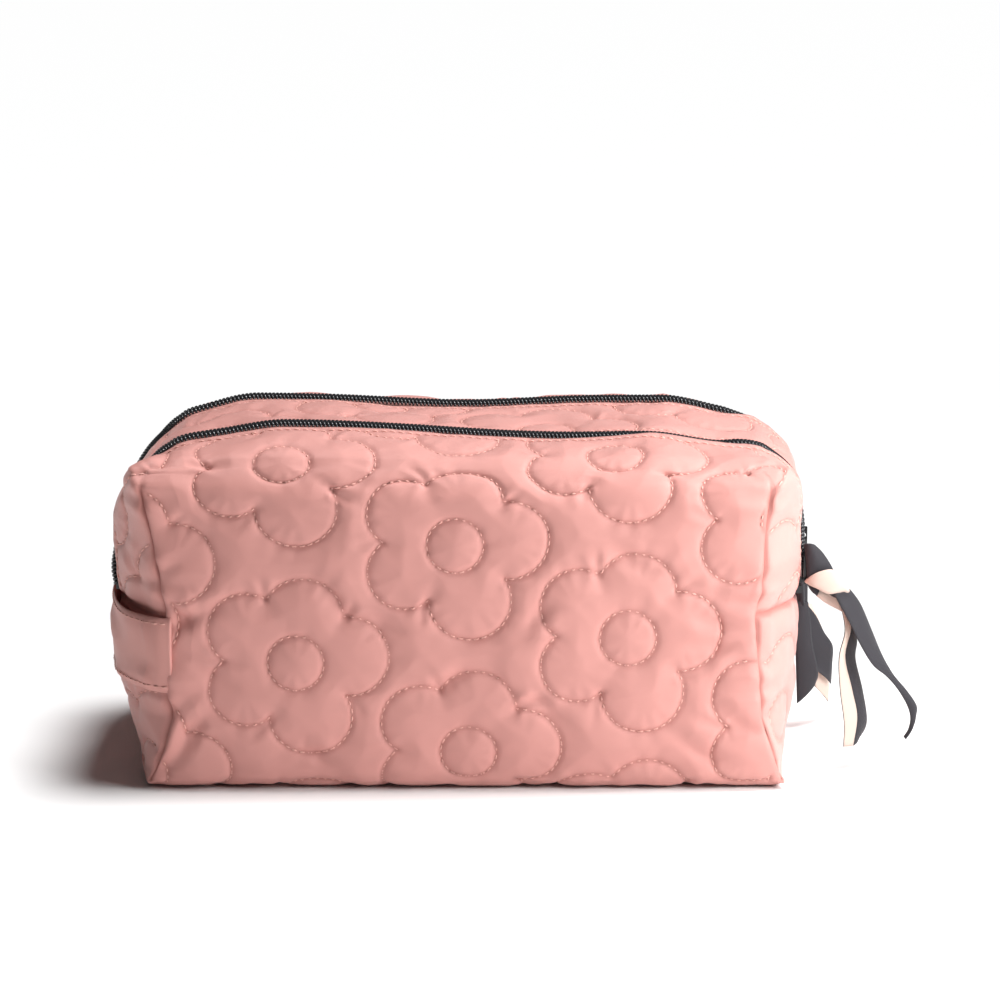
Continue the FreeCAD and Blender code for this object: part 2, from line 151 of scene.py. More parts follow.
def make_mesh(name, points, faces, uv=None, materials=()):
    """An object from millimetre points."""
    mesh = bpy.data.meshes.new(name)
    mesh.from_pydata((np.asarray(points) * MM).tolist(), [], [list(map(int, f)) for f in faces])
    if uv is not None:
        layer = mesh.uv_layers.new(name="cloth")
        loops = np.empty(len(mesh.loops), dtype=np.int64)
        mesh.loops.foreach_get("vertex_index", loops)
        layer.data.foreach_set("uv", np.asarray(uv)[loops].astype(np.float32).ravel())
    mesh.polygons.foreach_set("use_smooth", [True] * len(mesh.polygons))
    for material in materials:
        mesh.materials.append(material)
    mesh.update()
    return added(name, mesh)


def tube_faces(count, rounds):
    """Faces of a tube of `count` rings with `rounds` points each, with its two caps last."""
    last = (count - 1) * rounds
    quads = [
        (i + j, i + (j + 1) % rounds, i + rounds + (j + 1) % rounds, i + rounds + j)
        for i in range(0, last, rounds)
        for j in range(rounds)
    ]
    return quads + [tuple(range(rounds))[::-1], tuple(range(last, last + rounds))]


def joined(parts):
    """The points and faces of several (points, faces) together."""
    points, faces, start = [], [], 0
    for made, some in parts:
        points.append(made)
        faces += [tuple(start + i for i in face) for face in some]
        start += len(made)
    return np.concatenate(points), faces


def band_faces(count, columns):
    """Faces of a band of two layers of count x columns points, with the faces round its rim last."""
    layer = count * columns
    faces = []
    for i in range(count - 1):
        for a in range(i * columns, i * columns + columns - 1):
            b = a + layer
            faces += [(a, a + 1, a + columns + 1, a + columns), (b, b + columns, b + columns + 1, b + 1)]
    number = np.arange(layer).reshape(count, columns)
    rim = [*number[:, 0], *number[-1, 1:], *number[-2::-1, -1], *number[0, -2:0:-1]]
    return faces + [(a, b, b + layer, a + layer) for a, b in zip(rim, rim[1:] + rim[:1])]


# ---- the soft box


def rounded(a, b, half_a, low_b, high_b, low_radius, high_radius):
    """Signed distance to a rounded rectangle, |a| < half_a and low_b < b < high_b."""
    middle = (low_b + high_b) / 2
    radius = np.where(b > middle, high_radius, low_radius)
    qa = np.abs(a) - half_a + radius
    qb = np.abs(b - middle) - (high_b - low_b) / 2 + radius
    return np.hypot(np.maximum(qa, 0), np.maximum(qb, 0)) + np.minimum(np.maximum(qa, qb), 0) - radius


def soft_max(a, b, width):
    gap = np.maximum(width - np.abs(a - b), 0) / width
    return np.maximum(a, b) + gap * gap * width / 4


def top_sag(x, y):
    """How far the top sinks: in the middle, towards both ends, and most at the back corners."""
    front = 1.3 + 4.4 * bell(x - 38, 55) - 0.5 * bell(x + 62, 30)
    front_ends = 3.8 * ease(66, 98, -x) + 5.8 * ease(70, 104, x)
    back = 0.8 + 2.8 * bell(x - 2, 42) + 0.8 * bell(x - 80, 30)
    back_ends = 3.6 * ease(80, 104, -x) + 6.0 * ease(80, 112, x)
    corner = (6.0 * ease(100, 122, -x) + 9.0 * ease(94, 120, x)) * ease(27, 58, y)
    share = ease(-ZIP_Y, ZIP_Y, y)
    front += front_ends * (1 - 0.3 * ease(50, 62, -y))
    return front * (1 - share) + (back + back_ends) * share + corner + 2.2 * ease(ZIP_Y, 52, np.abs(y))


def outside(p):
    """Above zero outside the bag's smooth form, and below zero inside it."""
    x, y, z = p.T
    crisp = 1.2 + TOP_BLEND * ease(124, 134, z)
    top = HEIGHT + (crisp + 1.5) / 4
    z = z + top_sag(x, y) * ease(60, HEIGHT, z)
    reach = along(LENGTH_LINE, z) - np.where(x < 0, 1.8 * ease(30, 10, z), 0)
    drop = reach - seam_place(x, z)
    edge = np.maximum(np.abs(y) - FLAT_END, 0) / (WALL_Y - FLAT_END)
    plan = np.abs(x) - (reach - drop * edge**2)
    front, back = ease(36, 57, -y), ease(20, 58, y)
    bend = np.where(x < 0, LEFT_BEND - 16 * front, RIGHT_BEND - 11 * front + 16 * back)
    belt = rounded(x, z, HALF_LENGTH - 1.0, 0.0, top, 7.0, bend)
    side = rounded(y, z, WALL_Y, 0.0, top, 7.0, BROW_RADIUS)
    return soft_max(soft_max(plan, side, crisp), belt, crisp + 1.5)


def box_warp(p):
    """Moves box points so that the box's upright edges lie on the rays through the corner seams."""
    x, y, z = p.T
    seam = CORE[0] + (seam_place(x, z) - CORE[0]) * (HALF_DEPTH - CORE[1]) / (WALL_Y - CORE[1])
    share = np.clip((np.abs(y) - CORE[1]) / (HALF_DEPTH - CORE[1]), 0, 1)
    reach = HALF_LENGTH * (1 - share) + seam * share
    beyond = np.maximum(np.abs(x) - CORE[0], 0) / END_RADIUS
    wide = np.minimum(np.abs(x), CORE[0]) + beyond * (reach - CORE[0])
    return np.stack([np.sign(x) * wide, y, z], axis=1)


def project(p):
    """Moves box points along rays from the bag's core to its smooth form."""
    low, high = (-CORE[0], -CORE[1], CORE_LOW), (*CORE, CORE_HIGH)
    core = np.clip(p, low, high)
    ray = box_warp(p) - core
    near, far = np.full(len(p), 0.2), np.full(len(p), 1.3)
    for _ in range(26):
        middle = (near + far) / 2
        out = outside(core + ray * middle[:, None]) > 0
        far = np.where(out, middle, far)
        near = np.where(out, near, middle)
    return core + ray * near[:, None]


def outward(p):
    """The smooth form's normals."""
    return unit(np.stack([outside(p + step) - outside(p - step) for step in np.eye(3) * 0.8], axis=1))


# ---- the flower quilting

FLOWER_HOME = np.array([-0.8, 95.4])
LATTICE = np.array([[64.9, -35.9], [60.0, 45.4]])
NOTCHES = np.array([[-10.8, 24.4], [18.1, 17.7], [18.8, -13.0], [-10.0, -21.3], [-26.9, 0.8]])
PETAL_RISE = (11.3, 16.7, 19.5, 14.5, 14.0)
BUD_RADIUS = 10.6
STRIP_HOME = np.array([-31.0, 20.0])


def petal_arc(start, end, rise, step):
    """Points on the arc from start to end that bulges by `rise` away from the flower's middle."""
    chord = end - start
    half = np.linalg.norm(chord) / 2
    radius = (half * half + rise * rise) / (2 * rise)
    out = np.array([-chord[1], chord[0]]) / (2 * half)
    middle = (start + end) / 2
    if out @ middle < 0:
        out = -out
    centre = middle + out * (rise - radius)
    sweep = math.acos(np.clip((radius - rise) / radius, -1, 1))
    turn = np.linspace(-sweep, sweep, max(int(2 * sweep * radius / step), 4) + 1)
    side = chord / (2 * half)
    return centre + radius * (np.outer(np.cos(turn), out) + np.outer(np.sin(turn), side))


def flower_lines(step):
    """One flower's stitch lines, closed outline and bud, around (0, 0)."""
    arcs = [petal_arc(NOTCHES[i - 1], NOTCHES[i], PETAL_RISE[i - 1], step)[:-1] for i in (1, 2, 3, 4, 0)]
    outline = np.concatenate(arcs)
    turn = np.linspace(0, 2 * math.pi, int(2 * math.pi * BUD_RADIUS / step), endpoint=False)
    bud = BUD_RADIUS * np.stack([np.cos(turn), np.sin(turn)], axis=1)
    return [outline, bud]


def flower_centres(low, high, home):
    """The lattice's flowers that reach the rectangle from low to high."""
    found = []
    for i in range(-9, 10):
        for j in range(-9, 10):
            at = home + i * LATTICE[0] + j * LATTICE[1]
            if np.all(at > np.array(low) - 42) and np.all(at < np.array(high) + 42):
                found.append(at)
    return found


# ---- cloth coordinates of the four charts

# Heights on the box over the front's brow, and the same places as lengths up the cloth.
BEND = HEIGHT - BROW_RADIUS
BROW_BOX = 2 * BROW_RADIUS
BROW_ARC = BROW_RADIUS * math.pi / 2
BOX_STOPS = (-200, BEND, BEND + BROW_BOX, BEND + BROW_BOX + 100)
CLOTH_STOPS = (-200, BEND, BEND + BROW_ARC, BEND + BROW_ARC + 100)


def wall_rise(box_height):
    return np.interp(box_height, BOX_STOPS, CLOTH_STOPS)


def box_rise(wall):
    return np.interp(wall, CLOTH_STOPS, BOX_STOPS)


def belt_run(x, z, on_end):
    """Length along the belt from the middle of the top, on the top and down an end."""
    bend = HALF_LENGTH - END_RADIUS
    top = np.minimum(np.abs(x), bend) + np.maximum(np.abs(x) - bend, 0) * ARC_SHARE
    down = (HEIGHT - np.maximum(z, CORE_HIGH)) * ARC_SHARE + np.maximum(CORE_HIGH - z, 0)
    return np.sign(x) * np.where(on_end, bend + END_RADIUS * ARC_SHARE + down, top)


def wall_to_box(u, v):
    """Box points for cloth points on the front wall, over the brow and under the foot."""
    rise = box_rise(v)
    x = np.clip(u, -HALF_LENGTH, HALF_LENGTH)
    z = np.clip(rise, 0, HEIGHT)
    y = -HALF_DEPTH + np.maximum(rise - HEIGHT, 0) + np.maximum(-rise, 0)
    return np.stack([x, y, z], axis=1)


def belt_to_box(run, y):
    """Box points for belt points: `run` from the middle of the top."""
    bend = HALF_LENGTH - END_RADIUS
    far = np.abs(run)
    arc = END_RADIUS * ARC_SHARE
    x = np.where(far < bend, far, np.minimum(bend + (far - bend) / ARC_SHARE, HALF_LENGTH))
    down = np.maximum(far - bend - arc, 0)
    z = HEIGHT - np.where(down < arc, down / ARC_SHARE, END_RADIUS + down - arc)
    return np.stack([np.sign(run) * x, np.broadcast_to(y, x.shape), z], axis=1)


BELT_END = float(belt_run(np.array([HALF_LENGTH]), np.array([SEAM_Z]), np.array([True]))[0])

# ---- the relief of quilting, seams and folds


def nearest(chart, cloth):
    """Distance to the nearest stitch line of each point's chart, and how far along that line it lies."""
    gap = np.full(len(cloth), 99.0)
    place = np.zeros(len(cloth))
    for name, lines in LINES.items():
        samples = np.concatenate(lines)
        runs = []
        start = 0.0
        for line in lines:
            runs.append(start + runs_of(line))
            start = runs[-1][-1] + 40
        runs = np.concatenate(runs)
        tree = kdtree.KDTree(len(samples))
        for i, (u, v) in enumerate(samples):
            tree.insert((u, v, 0), i)
        tree.balance()
        for i in np.nonzero(chart == name)[0]:
            _, hit, distance = tree.find((cloth[i, 0], cloth[i, 1], 0))
            gap[i] = distance
            place[i] = runs[hit]
    return gap, place


FLOWERS = {
    "front": flower_centres((-200, -70), (200, 190), FLOWER_HOME),
    "back": flower_centres((-200, -70), (200, 190), FLOWER_HOME + (22, -9)),
    "strip": flower_centres((-BELT_END, -22), (BELT_END, 22), STRIP_HOME),
}
FLOWER = [np.concatenate([line, line[:1]]) for line in flower_lines(1.0)]
# Each chart's stitch lines, in cloth coordinates.
LINES = {name: [line + home for home in homes for line in FLOWER] for name, homes in FLOWERS.items()}


def tension(chart, cloth):
    """Folds that the stitching pulls outwards from each notch between two petals."""
    total = np.zeros(len(cloth))
    rng = np.random.default_rng(11)
    for name, centres in FLOWERS.items():
        here = np.nonzero(chart == name)[0]
        spot = cloth[here]
        for centre in centres:
            for notch in NOTCHES:
                length, deep, lean = rng.uniform(9, 19), rng.uniform(0.35, 1.0), rng.normal(0, 0.28)
                turned = math.atan2(notch[1], notch[0]) + lean
                way = np.array([math.cos(turned), math.sin(turned)])
                off = spot - (centre + notch)
                near = np.nonzero(np.abs(off).max(axis=1) < 24)[0]
                run = off[near] @ way
                side = off[near] @ np.array([-way[1], way[0]]) + 0.7 * np.sin(run / 3.5 + lean * 9)
                wide = 1.1 + 0.09 * np.clip(run, 0, 20)
                fade = ease(length, 0.25 * length, run) * ease(-1.2, 1.0, run)
                fold = bell(side, wide) - 0.4 * bell(np.abs(side) - 2.1 * wide, wide)
                inward = ease(0.9 * length, 0.2 * length, -run) * ease(-1.2, 1.0, -run)
                total[here[near]] -= deep * (fade * fold + 0.55 * inward * bell(side, 2.8))
    return total


# Soft folds on the front wall, and mirrored on the back: (x, height) of both ends, depth, and half width.
FOLDS = (
    (-112, 8, -95, 28, 1.6, 3.5), (-116, 30, -98, 36, 1.0, 3.0), (-115, 62, -92, 70, 1.5, 3.0),
    (-116, 74, -100, 66, 1.1, 2.6), (-118, 84, -104, 88, 0.9, 2.6), (-100, 52, -84, 40, 0.8, 3.0),
    (-50, 78, -38, 66, 0.9, 3.0), (-34, 70, -20, 62, 0.8, 3.0), (-12, 38, 2, 46, 0.8, 3.0),
    (28, 40, 40, 26, 1.0, 3.0), (34, 72, 24, 60, 0.9, 3.0), (60, 92, 76, 84, 0.8, 3.0),
    (92, 66, 116, 64, 1.5, 3.0), (88, 56, 114, 58, 1.2, 2.8), (96, 76, 115, 72, 1.0, 2.6),
    (100, 30, 116, 22, 1.0, 3.0), (84, 20, 100, 10, 1.0, 3.0), (-60, 20, -46, 8, 0.8, 3.0),
)


def fold_depth(x, z):
    total = np.zeros(len(x))
    for x0, z0, x1, z1, deep, wide in FOLDS:
        way = np.array([x1 - x0, z1 - z0], float)
        length = np.linalg.norm(way)
        way /= length
        run = (x - x0) * way[0] + (z - z0) * way[1]
        off = (x - x0) * -way[1] + (z - z0) * way[0]
        off = off + 0.9 * np.sin(run / 5.0)
        fade = bell(run - length / 2, length * 0.55)
        total -= deep * fade * (bell(off, wide) - 0.45 * bell(off - 2.1 * wide, wide))
    return total


# ---- the skin as one grid


def ticks(low, high, fixed, step):
    """Grid lines from low to high through the fixed places, about a step apart."""
    stops = sorted({low, high, *fixed})
    lines = []
    for a, b in zip(stops, stops[1:]):
        count = max(int(round((b - a) / step)), 1)
        lines += list(np.linspace(a, b, count, endpoint=False))
    return np.array(lines + [high])


def skin_grid():
    """The bag's whole skin over a box grid: box points, faces, and the box side of each face."""
    xs = ticks(-HALF_LENGTH, HALF_LENGTH, [0.0], STEP)
    ys = ticks(-HALF_DEPTH, HALF_DEPTH, [-SLOT_OUT, -SLOT_IN, 0.0, SLOT_IN, SLOT_OUT], STEP)
    zs = ticks(0.0, HEIGHT, [SEAM_Z], STEP)
    shape = (len(xs), len(ys), len(zs))
    last = np.array(shape)[:, None, None, None] - 1
    shell = (np.indices(shape) % last == 0).any(axis=0)
    number = np.full(shape, -1)
    number[shell] = np.arange(shell.sum())
    i, j, k = np.nonzero(shell)
    points = np.stack([xs[i], ys[j], zs[k]], axis=1)
    faces, sides = [], []
    for axis, end, name in (
        (0, 0, "left"), (0, -1, "right"), (1, 0, "front"), (1, -1, "back"), (2, 0, "bottom"), (2, -1, "top"),
    ):
        sheet = np.take(number, end, axis=axis)
        quad = np.stack([sheet[:-1, :-1], sheet[1:, :-1], sheet[1:, 1:], sheet[:-1, 1:]], axis=-1)
        quad = quad.reshape(-1, 4)
        flip = (end == -1) != (axis == 1)
        faces.append(quad if flip else quad[:, ::-1])
        sides += [name] * len(quad)
    return points, np.concatenate(faces), np.array(sides)


BOX, FACES, SIDES = skin_grid()


def sides_of(box):
    """Each box point's side: on an edge, front and back win over the ends, and those over top and bottom."""
    side = np.full(len(box), "bottom", dtype="<U6")
    for name, axis, way, reach in (
        ("top", 2, 1, HEIGHT), ("left", 0, -1, HALF_LENGTH), ("right", 0, 1, HALF_LENGTH),
        ("front", 1, -1, HALF_DEPTH), ("back", 1, 1, HALF_DEPTH),
    ):
        side[box[:, axis] * way >= reach - 1e-3] = name
    return side


END_START = 113.0


def wall_place(x, z):
    """How far along the wall a box point is once its upright edges are on the corner seams."""
    far = np.abs(x)
    share = np.maximum(far - CORE[0], 0) / END_RADIUS
    return np.sign(x) * (np.minimum(far, CORE[0]) + share * (seam_place(x, z) - CORE[0]))


def cloth_of(box, side):
    """Each point's chart and cloth coordinates."""
    x, y, z = box.T
    end = (side == "left") | (side == "right")
    belt = (side == "top") | (end & (z > SEAM_Z))
    strip = (np.abs(y) < ZIP_Y) & belt
    chart = np.where(strip, "strip", np.where(y < 0, "front", "back"))
    run = belt_run(x, z, end)
    deep = HALF_DEPTH - np.abs(y)
    rise = np.where(belt, HEIGHT + deep, np.where(side == "bottom", -deep, z))
    low_end = end & ~belt
    u = np.where(low_end, np.sign(x) * (END_START + deep), np.where(belt, run, wall_place(x, z)))
    v = np.where(low_end, z, wall_rise(rise))
    u = np.where(chart == "back", -u, u)
    u = np.where(strip, run, u)
    v = np.where(strip, y, v)
    return chart, np.stack([u, v], axis=1)


# How far each zip sinks between its hems, by distance along the belt: the cloth puffs up beside it.
ZIP_SINK = {
    "front": (
        (-172, 0), (-163, 1.25), (-126, 1.25), (-114, 0), (30, 0), (50, 0.3), (64, 0.7), (73, 1.25),
        (99, 1.25), (106, 0.7), (118, 0.7), (125, 1.25), (148, 1.25), (157, 0),
    ),
    "back": ((-172, 0), (-163, 1.25), (-126, 1.25), (-114, 0), (104, 0), (114, 1.25), (148, 1.25), (157, 0)),
}


def zip_sink(run, side):
    return np.interp(run, *zip(*ZIP_SINK[side]))


# The relief's parts: the padding's quick rise beside a stitch line and slow rise beyond it, how far it all
# sinks, the puckers along the lines, the wrinkles at the seams, and the soft creases.
PUFF, GROOVE, PILLOW, QUILT_SINK = 1.35, 0.85, 1.45, 1.5
PUCKER, RUFFLE, GATHER, CRUMPLE, FRONT_FOLDS = 0.24, 1.0, 0.7, 0.17, 1.35
# How deep the end seams, corner seams and zip hems pull in, and how far the walls swell and dome.
END_SEAM, CORNER_SEAM, HEM_SEAM, SWELL, DOME = 1.3, 2.2, 0.5, 0.42, 1.6
CORNER_TOP = 122.0  # the corner seams end here
FAR = 99.0  # stands for "not near this seam"


def relief(box, side, points, chart, cloth):
    """How far each point of the skin stands out from the smooth form, and how deep in a crease it is, for the
    painted shade in the creases.
    """
    gap, place = nearest(chart, cloth)
    x, y, z = points.T
    end = (side == "left") | (side == "right")
    wall = (side == "front") | (side == "back")
    puff = PUFF * (1 - np.exp(-gap / GROOVE)) + PILLOW * (1 - np.exp(-((gap / 8.5) ** 1.3)))
    pucker = np.sin(place / 1.35 + 1.6 * np.sin(place / 5.3)) * np.exp(-gap / 4.0) * (1 - np.exp(-gap / 0.9))
    out = puff - QUILT_SINK + PUCKER * pucker + tension(chart, cloth)
    # Upright corner seams, and the seam across each end.
    to_corner = np.where(wall, seam_place(x, z) - np.abs(x), (WALL_Y - np.abs(y)) * 1.15)
    to_corner = np.where((wall | end) & (z < CORNER_TOP), np.abs(to_corner), FAR)
    to_middle = np.where(end, np.abs(z - SEAM_Z), FAR)
    on_belt = (side == "top") | (end & (z > SEAM_Z - 2))
    to_slot = np.where(on_belt, np.abs(np.abs(y) - ZIP_Y) - SLOT_HALF, FAR)
    hem = bell(to_slot - 3.0, 1.3)
    for distance, reach in ((to_corner, 5.0), (to_middle, 4.0), (to_slot, 5.0)):
        out = out * (1 - np.exp(-np.maximum(distance, 0) / reach))
    out -= END_SEAM * bell(to_middle, 1.5) + CORNER_SEAM * np.exp(-to_corner / 1.1) + HEM_SEAM * hem
    run = belt_run(box[:, 0], box[:, 2], end)
    sink = np.where(y < 0, zip_sink(run, "front"), zip_sink(run, "back"))
    hides = np.where(run < 0, np.abs(y) > ZIP_Y, np.where(y < 0, y < -ZIP_Y, y < ZIP_Y))
    out += sink * np.where(hides, np.exp(-np.maximum(to_slot, 0) / 9.0), 0)
    # Wrinkles that run away from the corner seams and the end seams.
    ruffle = np.sin(z / 2.3 + 1.8 * np.sin(z / 6.1))
    ruffle = ruffle * np.exp(-to_corner / 7.0) * (1 - np.exp(-to_corner / 1.2))
    gather = np.sin(y / 1.9 + 1.5 * np.sin(y / 5.0))
    gather = gather * np.exp(-to_middle / 7.0) * (1 - np.exp(-to_middle / 1.2))
    out += RUFFLE * ruffle + GATHER * gather
    out += SWELL * waves(points, 60.0, 3) * np.where(side == "bottom", 0.0, 1.0)
    crumple = 0.5 - np.abs(waves(points * (1, 1, 1.3), 21.0, 4))
    out += CRUMPLE * crumple * (1 - np.exp(-gap / 2.5))
    out += np.where(side == "front", FRONT_FOLDS * fold_depth(x, z), 0)
    out += np.where(side == "back", fold_depth(-x, z), 0)
    dome = (1 - (x / 126) ** 2) * np.clip(1 - ((z - 58) / 58) ** 2, 0, 1)
    out += np.where(wall, DOME * np.clip(dome, 0, 1), 0)
    # How much painted shade the cloth gets: in stitch grooves, at the corner and end seams, and beside the
    # zip hems.
    crease = 0.5 * bell(gap, GROOVE)
    for distance, reach, share in ((to_corner, 1.2, 1.0), (to_middle, 1.2, 0.9), (to_slot - 3.0, 0.9, 0.4)):
        crease = np.maximum(crease, share * bell(distance, reach))
    # The foot stays on the ground.
    return np.where(z < 3, np.minimum(out, 0.6), out), crease


def skin_of(box):
    """For box points: the smooth form, its normals, the finished skin, its creases and cloth coordinates."""
    side = sides_of(box)
    smooth = project(box)
    normal = outward(smooth)
    chart, cloth = cloth_of(box, side)
    height, crease = relief(box, side, smooth, chart, cloth)
    return smooth, normal, smooth + normal * height[:, None], crease, cloth


SMOOTH, NORMAL, SKIN, CREASE, CLOTH = skin_of(BOX)
SKIN[:, 2] = np.maximum(SKIN[:, 2], 0.0)

# ---- materials


def new_material(name, colour, roughness, **sockets):
    material = bpy.data.materials.new(name)
    material.use_nodes = True
    shader = material.node_tree.nodes["Principled BSDF"]
    shader.inputs["Base Color"].default_value = (*colour, 1)
    shader.inputs["Roughness"].default_value = roughness
    for socket, value in sockets.items():
        shader.inputs[socket.replace("_", " ")].default_value = value
    return material, material.node_tree, shader


def node(tree, kind, *sources, **values):
    """A new node, its first inputs linked to the sources, and its settings and inputs given the values."""
    made = tree.nodes.new(kind)
    for i, source in enumerate(sources):
        tree.links.new(source, made.inputs[i])
    for key, value in values.items():
        if hasattr(made, key):
            setattr(made, key, value)
        elif isinstance(value, bpy.types.NodeSocket):
            tree.links.new(value, made.inputs[key])
        else:
            made.inputs[key.replace("_", " ")].default_value = value
    return made


def weave(tree, shader, strength, slub):
    """Fine crossed threads and soft slubs as bump, in cloth coordinates."""
    uv = node(tree, "ShaderNodeUVMap", uv_map="cloth").outputs["UV"]
    where = node(tree, "ShaderNodeMapping", uv, Scale=(1, 1, 1)).outputs["Vector"]
    warp, weft = [
        node(tree, "ShaderNodeTexWave", where, bands_direction=way, Scale=1.0, Distortion=0.4).outputs["Fac"]
        for way in "XY"
    ]
    noise = node(tree, "ShaderNodeTexNoise", where, Scale=slub, Detail=4.0).outputs["Fac"]
    both = node(tree, "ShaderNodeMath", warp, weft, operation="MULTIPLY").outputs[0]
    total = node(tree, "ShaderNodeMath", both, noise, operation="ADD").outputs[0]
    bump = node(tree, "ShaderNodeBump", Strength=strength, Distance=0.0003, Height=total)
    tree.links.new(bump.outputs["Normal"], shader.inputs["Normal"])
    return where


def tint(tree, shader, where, dark, light, scale):
    """Slow colour variation over the cloth."""
    noise = node(tree, "ShaderNodeTexNoise", where, Scale=scale, Detail=3.0, Roughness=0.55)
    ramp = node(tree, "ShaderNodeValToRGB", noise.outputs["Fac"])
    for element, colour, position in zip(ramp.color_ramp.elements, (dark, light), (0.3, 0.7)):
        element.color = (*colour, 1)
        element.position = position
    tree.links.new(ramp.outputs["Color"], shader.inputs["Base Color"])
    return ramp.outputs["Color"]


def paint_crease_shade(tree, shader, colour, deep):
    """Paints shade into the cloth down in stitched creases, seam grooves and hems: mixes towards the shade
    colour by the crease attribute.
    """
    crease = node(tree, "ShaderNodeAttribute", attribute_name="crease")
    mix = node(tree, "ShaderNodeMix", data_type="RGBA")
    tree.links.new(crease.outputs["Fac"], mix.inputs[0])
    tree.links.new(colour, mix.inputs[6])
    mix.inputs[7].default_value = (*deep, 1)
    tree.links.new(mix.outputs[2], shader.inputs["Base Color"])


def satin(name, dark, light, roughness, sheen=0.16, deep=None):
    material, tree, shader = new_material(
        name, light, roughness, Sheen_Weight=sheen, Sheen_Roughness=0.4, Specular_IOR_Level=0.4
    )
    where = weave(tree, shader, 0.35, 900.0)
    colour = tint(tree, shader, where, dark, light, 60.0)
    # deep is the painted shade colour, mixed in along the creases
    if deep:
        paint_crease_shade(tree, shader, colour, deep)
    return material


# The third colour is the painted shade for stitch creases, seam grooves and hems.
PINK = satin("quilted_satin", (0.640, 0.284, 0.250), (0.705, 0.328, 0.291), 0.44, 0.2, (0.43, 0.145, 0.12))
STRAP_PINK = satin("strap_satin", (0.69, 0.315, 0.275), (0.74, 0.345, 0.305), 0.5)
LINING = satin("lining", (0.70, 0.40, 0.35), (0.76, 0.45, 0.40), 0.55)
THREAD, *_ = new_material("thread", (0.79, 0.42, 0.36), 0.6, Sheen_Weight=0.05)
TAPE = satin("zip_tape", (0.012, 0.012, 0.014), (0.022, 0.022, 0.026), 0.75)
COIL, *_ = new_material("zip_coil", (0.018, 0.018, 0.021), 0.32, Coat_Weight=0.2)
METAL, *_ = new_material("zip_metal", (0.02, 0.02, 0.022), 0.28, Metallic=0.6, Coat_Weight=0.4)
BLACK = satin("black_ribbon", (0.013, 0.011, 0.015), (0.026, 0.023, 0.030), 0.6, 0.1)
CREAM = satin("cream_ribbon", (0.60, 0.47, 0.40), (0.66, 0.53, 0.46), 0.55, 0.03)

# ---- pieces of skin


HEM_DEPTH = 2.6
UV_SCALE = 0.8


def edge_pairs(faces):
    return np.stack([faces, np.roll(faces, -1, axis=1)], axis=-1).reshape(-1, 2)


def slot_edges(keep):
    """The masked faces' edges that border a zip's slot."""
    mine, slot = edge_pairs(FACES[keep]), edge_pairs(FACES[SLOT])
    place = np.array([len(BOX), 1])
    return mine[np.isin(np.sort(mine, axis=1) @ place, np.sort(slot, axis=1) @ place)]


def cut_piece(name, keep, offset=0.0, material=PINK, smooth=False):
    """The skin's faces under a mask, as an object; turned down along each zip unless smooth."""
    faces = FACES[keep]
    used, index = np.unique(faces, return_inverse=True)
    index = index.reshape(-1, 4)
    points = (SMOOTH if smooth else SKIN)[used] + NORMAL[used] * offset
    cloth, crease = CLOTH[used], CREASE[used]
    if not smooth:
        edges = slot_edges(keep)
        rim, turned = np.unique(edges, return_inverse=True)
        turned = turned.reshape(-1, 2) + len(used)
        top = np.searchsorted(used, edges)
        points = np.concatenate([points, SMOOTH[rim] - NORMAL[rim] * HEM_DEPTH])
        cloth = np.concatenate([cloth, CLOTH[rim] + (0, 2)])
        # The turned-down hems get a middling painted shade.
        crease = np.concatenate([crease, np.full(len(rim), 0.5)])
        index = np.concatenate([index, np.stack([top[:, 1], top[:, 0], turned[:, 0], turned[:, 1]], axis=1)])
    piece = make_mesh(name, points, index, cloth * UV_SCALE, [material])
    # The crease attribute carries the painted shade to the material.
    layer = piece.data.attributes.new("crease", "FLOAT", "POINT")
    layer.data.foreach_set("value", crease.astype(np.float32))
    return piece


CENTRE = BOX[FACES].mean(axis=1)
ON_BELT = (SIDES == "top") | (((SIDES == "left") | (SIDES == "right")) & (CENTRE[:, 2] > SEAM_Z))
ACROSS = np.abs(CENTRE[:, 1])
SLOT = ON_BELT & (ACROSS > SLOT_IN) & (ACROSS < SLOT_OUT)
STRIP = ON_BELT & (ACROSS < SLOT_IN)
FRONT = ~SLOT & ~STRIP & (CENTRE[:, 1] < 0)
BACK = ~SLOT & ~STRIP & (CENTRE[:, 1] > 0)


def across_fold(piece):
    """Bakes a piece's placement into its mesh."""
    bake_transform(piece)


for side, mask in (("front", FRONT), ("back", BACK)):
    skin = cut_piece(f"{side}_quilted_panel", mask)
    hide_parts(f"{side}_flap", "main_panel")
    across_fold(skin)
strip = cut_piece("centre_quilted_strip", STRIP)
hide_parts("centre_strip")
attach(strip, "bag")

# ---- stitches


CAPSULE_ROUNDS = 6


def capsule(points, normals, radius):
    """Rings round a short path with pointed ends: (points, faces)."""
    count = len(points)
    way = unit(np.gradient(points, axis=0))
    side = unit(np.cross(way, normals))
    up = np.cross(side, way)
    rounds = CAPSULE_ROUNDS
    size = radius * np.sqrt(np.clip(1 - np.linspace(-0.93, 0.93, count) ** 4, 0.02, 1))
    turn = np.linspace(0, 2 * math.pi, rounds, endpoint=False)
    ring = np.cos(turn)[None, :, None] * side[:, None] + np.sin(turn)[None, :, None] * up[:, None]
    rings = points[:, None] + ring * size[:, None, None]
    return rings.reshape(-1, 3), tube_faces(count, rounds)


def capsules(name, paths, radius, material):
    """One object of many capsules: paths is a list of (points, normals)."""
    points, faces = joined([capsule(*path, radius) for path in paths])
    return make_mesh(name, points, faces, points[:, :2], [material])


STITCH_PITCH = 3.0
STITCH_LENGTH = 2.35
STITCH_POINTS = 5
STITCH_RISE = (-0.30, 0.16, 0.26, 0.16, -0.30)
QUILT_THREAD, EDGE_THREAD = 0.31, 0.28


